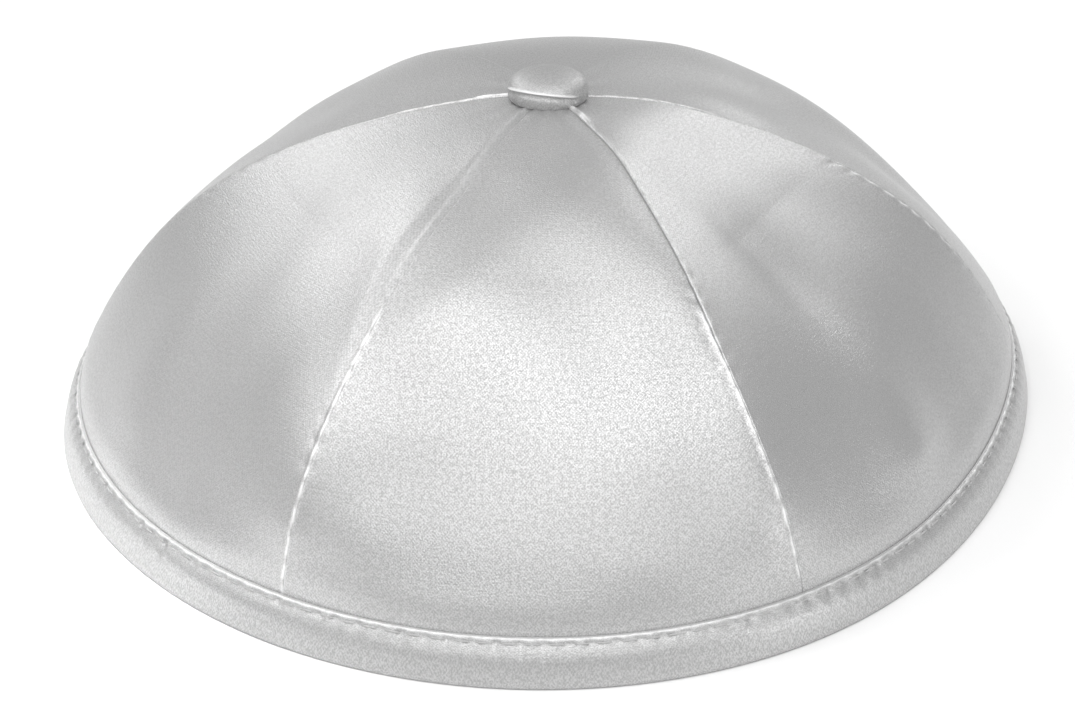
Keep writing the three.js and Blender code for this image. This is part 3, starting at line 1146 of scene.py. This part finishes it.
def make_satin(name, width_of_map, left_unshaded=1.0, dullness=0.29):
    satin = Recipe(name)
    cloth = satin.node("UVMap", {"uv_map": "Cloth"}, {})
    across = satin.node("SeparateXYZ", {}, {"Vector": cloth}, "X") * width_of_map
    down = satin.node("SeparateXYZ", {}, {"Vector": cloth}, "Y") * width_of_map
    weft = (across * (2 * math.pi / THREAD_PITCH)).sine()
    warp = (down * (2 * math.pi / THREAD_PITCH)).sine()
    lattice = weft * warp
    floats = cloth_noise(satin, across * PER_MM["floats_across"], down * PER_MM["floats_down"], 2.0)
    cloud = cloth_noise(satin, across * PER_MM["cloud"], down * PER_MM["cloud"], 3.0)
    start = down * PER_MM["glints"]
    glints = cloth_noise(satin, across * PER_MM["glints"], start, 3.0, ROUGH_NOISE)
    start = across * PER_MM["speckle"] + SPECKLE_START
    speckle = cloth_noise(satin, start, down * PER_MM["speckle"], 3.0, ROUGH_NOISE)
    start = down * PER_MM["flecks"] + FLECKS_START
    flecks = cloth_noise(satin, across * PER_MM["flecks"], start, 2.0, ROUGH_NOISE)
    relief = glints + floats * RELIEF["floats"]
    relief = relief + lattice * RELIEF["lattice"] + warp * RELIEF["warp"]
    bump = satin.node("Bump", {}, {**BUMP, "Height": relief})
    grain = (speckle - 0.5) * GRAIN["speckle"] + (flecks - 0.5) * GRAIN["flecks"]
    grain = grain + lattice * GRAIN["lattice"] + 0.5
    shade = grain * SHADE["grain"] + floats * SHADE["floats"] + cloud * SHADE["cloud"]
    painted_highlight = satin.attribute("painted_highlight")
    lining = satin.attribute("lining")
    colour = satin.mix(shade, SATIN_DARK, SATIN_COLOUR)
    # Painted shade: a copy of the satin can be darkened towards a grey, as the button's is.
    colour = satin.mix(1 - left_unshaded, colour, PAINTED_SHADE_GREY)
    # Painted highlight: white and less metallic along rolled and turned edges.
    colour = satin.mix(painted_highlight, colour, PAINTED_HIGHLIGHT_COLOUR)
    colour = satin.mix(lining, colour, LINING_COLOUR)
    metal = METAL["base"] + grain * METAL["grain"]
    metal = metal - lining * METAL["lining"] - painted_highlight * METAL["painted_highlight"]
    return satin.surface({
        "Base Color": colour,
        "Roughness": dullness + glints * ROUGH["glints"] + lining * ROUGH["lining"],
        "Normal": bump,
        "Metallic": metal,
        "Specular IOR Level": SPECULAR,
    })


crown_satin = make_satin("crown_satin", PANEL_MAP)
band_satin = make_satin("band_satin", BAND_MAP)
# The button's satin is darkened a little, as painted shade.
button_satin = make_satin("button_satin", BUTTON_MAP, 0.85, 0.4)
for panel in panels.values():
    panel.data.materials.append(crown_satin)
band.data.materials.append(band_satin)
button.data.materials.append(button_satin)

# %% [markdown]
# Sewing thread is twisted from dull fibres, so it is rougher than the satin and a little darker,
# with a fine grain. It is too thin for a pattern of its own twist to show, so one noise does.

# %% Sewing thread
THREAD_DARK = (0.36, 0.36, 0.36, 1)
THREAD_LIGHT = (0.5, 0.5, 0.5, 1)
THREAD_GRAINS = 2600.0
THREAD_ROUGH = {"least": 0.4, "grain": 0.1}
THREAD_BUMP = {"Strength": 0.5, "Distance": 0.00008}


def make_thread():
    thread = Recipe("sewing_thread")
    spot = thread.node("TexCoord", {}, {}, "Object")
    grain = thread.node("TexNoise", {}, {"Vector": spot, "Scale": THREAD_GRAINS, "Detail": 1.0})
    return thread.surface({
        "Base Color": thread.mix(grain, THREAD_DARK, THREAD_LIGHT),
        "Roughness": THREAD_ROUGH["least"] + grain * THREAD_ROUGH["grain"],
        "Normal": thread.node("Bump", {}, {**THREAD_BUMP, "Height": grain}),
    })


stitches.data.materials.append(make_thread())

# %% [markdown]
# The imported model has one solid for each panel, the band and the button, and all of them ride on
# one body, because soft cloth has no joint. Each piece rides on that body and stands for the
# solid whose place it takes. The stitches have no solid of their own, and go with the band.

# %% Put the pieces on the model
for panel, piece in panels.items():
    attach(piece, "root")
    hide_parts(panel)
for piece, slot in ((band, "band_satin"), (stitches, "band_satin"), (button, "button_satin")):
    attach(piece, "root")
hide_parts("rim_band")
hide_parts("top_button")
print("pieces on the body:", len(panels) + len((band, stitches, button)))

# %% [markdown]
# A cap like this is photographed on white paper that runs on past the view. A white world alone
# would leave it without a shadow, so the sheet is a real plane, far wider than the picture, with
# a very faint grain. It is a stage and not part of the cap.

# %% Floor
FLOOR_HALF = 3.0
PAPER_DARK = (0.87, 0.87, 0.87, 1)
PAPER_LIGHT = (0.89, 0.89, 0.89, 1)
PAPER_GRAINS = 40.0
PAPER_ROUGH = 0.9


def make_floor():
    sheet = bmesh.new()
    bmesh.ops.create_grid(sheet, x_segments=1, y_segments=1, size=FLOOR_HALF)
    floor = finished("floor", sheet)
    paper = Recipe("paper")
    spot = paper.node("TexCoord", {}, {}, "Object")
    grain = paper.node("TexNoise", {}, {"Vector": spot, "Scale": PAPER_GRAINS})
    colour = paper.mix(grain, PAPER_DARK, PAPER_LIGHT)
    floor.data.materials.append(paper.surface({"Base Color": colour, "Roughness": PAPER_ROUGH}))


make_floor()

# %% [markdown]
# The camera stands in front of the cap and a little above it, with a long lens, so that the near
# and the far side are nearly the same size. It could be placed by eye, but a few pixels matter
# when two pictures are compared, so its distance, height and lens were fitted to the seams.

# %% Camera
CAMERA_TARGET = Vector((-0.00231, 0.00137, 0.00808))
CAMERA_DISTANCE = 0.588
CAMERA_ELEVATION = math.radians(27.09)
CAMERA_LENS = 115.6
CAMERA_SENSOR = 36
CAMERA_NEAR = 0.01


def make_camera():
    camera = bpy.data.cameras.new("camera")
    camera.lens = CAMERA_LENS
    camera.sensor_width = CAMERA_SENSOR
    camera.clip_start = CAMERA_NEAR
    eye = bpy.data.objects.new("camera", camera)
    back = Vector((0, -math.cos(CAMERA_ELEVATION), math.sin(CAMERA_ELEVATION)))
    eye.location = CAMERA_TARGET + back * CAMERA_DISTANCE
    eye.rotation_euler = (math.pi / 2 - CAMERA_ELEVATION, 0, 0)
    bpy.context.scene.collection.objects.link(eye)
    bpy.context.scene.camera = eye


make_camera()
print("the camera stands", CAMERA_DISTANCE, "m from the cap")

# %% [markdown]
# White satin is photographed between large white boards, which it mirrors as broad, pale zones.
# A picture of a studio could light the scene, but then its zones couldn't be moved one by one. So
# square lamps stand round the cap, each given by its azimuth and elevation, over a white world.
# One narrow beam lights the table at the left, because the band's left side mirrors it there.

# %% Light
WORLD_STRENGTH = 0.46
LIGHTS = table(
    "name azimuth elevation size power",
    ("back_right", 150, 31, 0.2, 0.65),
    ("back_left", 213, 33, 0.2, 0.63),
    ("left_back", 240, 42, 0.25, 0.32),
    ("left", 280, 42, 0.25, 0.92),
    ("front_left", 330, 30, 0.25, 0.56),
    ("front", 0, 30, 0.25, 0.41),
    ("front_right", 30, 30, 0.25, 0.38),
    ("front_high", 0, 57, 0.25, 0.6),
    ("right_high", 45, 55, 0.25, 0.42),
    ("over_right", 60, 72, 0.25, 0.5),
    ("over_back", 120, 74, 0.25, 0.26),
    ("over_left", 240, 72, 0.25, 0.31),
    ("over_front", 300, 73, 0.25, 0.6),
    ("top", 90, 88, 0.25, 0.22),
    ("low_right", 60, 8, 0.16, 0.5),
)
TABLE_GLOW = {"x": -0.16, "y": -0.085, "height": 0.5, "size": 0.04, "spread": 30, "power": 0.13}
LIGHT_DISTANCE = 0.8
LIGHT_SCALE = 1.12
LIGHT_TARGET = Vector((0, 0, 0.03))


def add_lamp(name, size, power, location):
    """A square lamp, which faces straight down until it is turned."""
    lamp = bpy.data.lights.new(name, "AREA")
    lamp.shape = "SQUARE"
    lamp.size = size
    lamp.energy = power
    light = bpy.data.objects.new(name, lamp)
    light.location = location
    bpy.context.scene.collection.objects.link(light)
    return light


def make_board(row):
    """A lamp that stands for a white board, facing the cap."""
    turn, lift = math.radians(row["azimuth"]), math.radians(row["elevation"])
    across = math.cos(lift)
    away = Vector((math.sin(turn) * across, -math.cos(turn) * across, math.sin(lift)))
    where = LIGHT_TARGET + away * LIGHT_DISTANCE
    light = add_lamp(row["name"], row["size"], row["power"] * LIGHT_SCALE, where)
    light.rotation_euler = away.to_track_quat("Z", "Y").to_euler()


def make_table_glow():
    """A narrow beam straight down on the table beside the cap."""
    where = (TABLE_GLOW["x"], TABLE_GLOW["y"], TABLE_GLOW["height"])
    light = add_lamp("table_glow", TABLE_GLOW["size"], TABLE_GLOW["power"], where)
    light.data.spread = math.radians(TABLE_GLOW["spread"])


def make_world():
    world = bpy.data.worlds.new("studio")
    world.use_nodes = True
    backdrop = world.node_tree.nodes["Background"]
    backdrop.inputs["Color"].default_value = (1, 1, 1, 1)
    backdrop.inputs["Strength"].default_value = WORLD_STRENGTH
    bpy.context.scene.world = world


for row in LIGHTS:
    make_board(row)
make_table_glow()
make_world()
bpy.context.scene.view_settings.view_transform = "Standard"
print(len(LIGHTS), "boards, one beam and a world of strength", WORLD_STRENGTH)
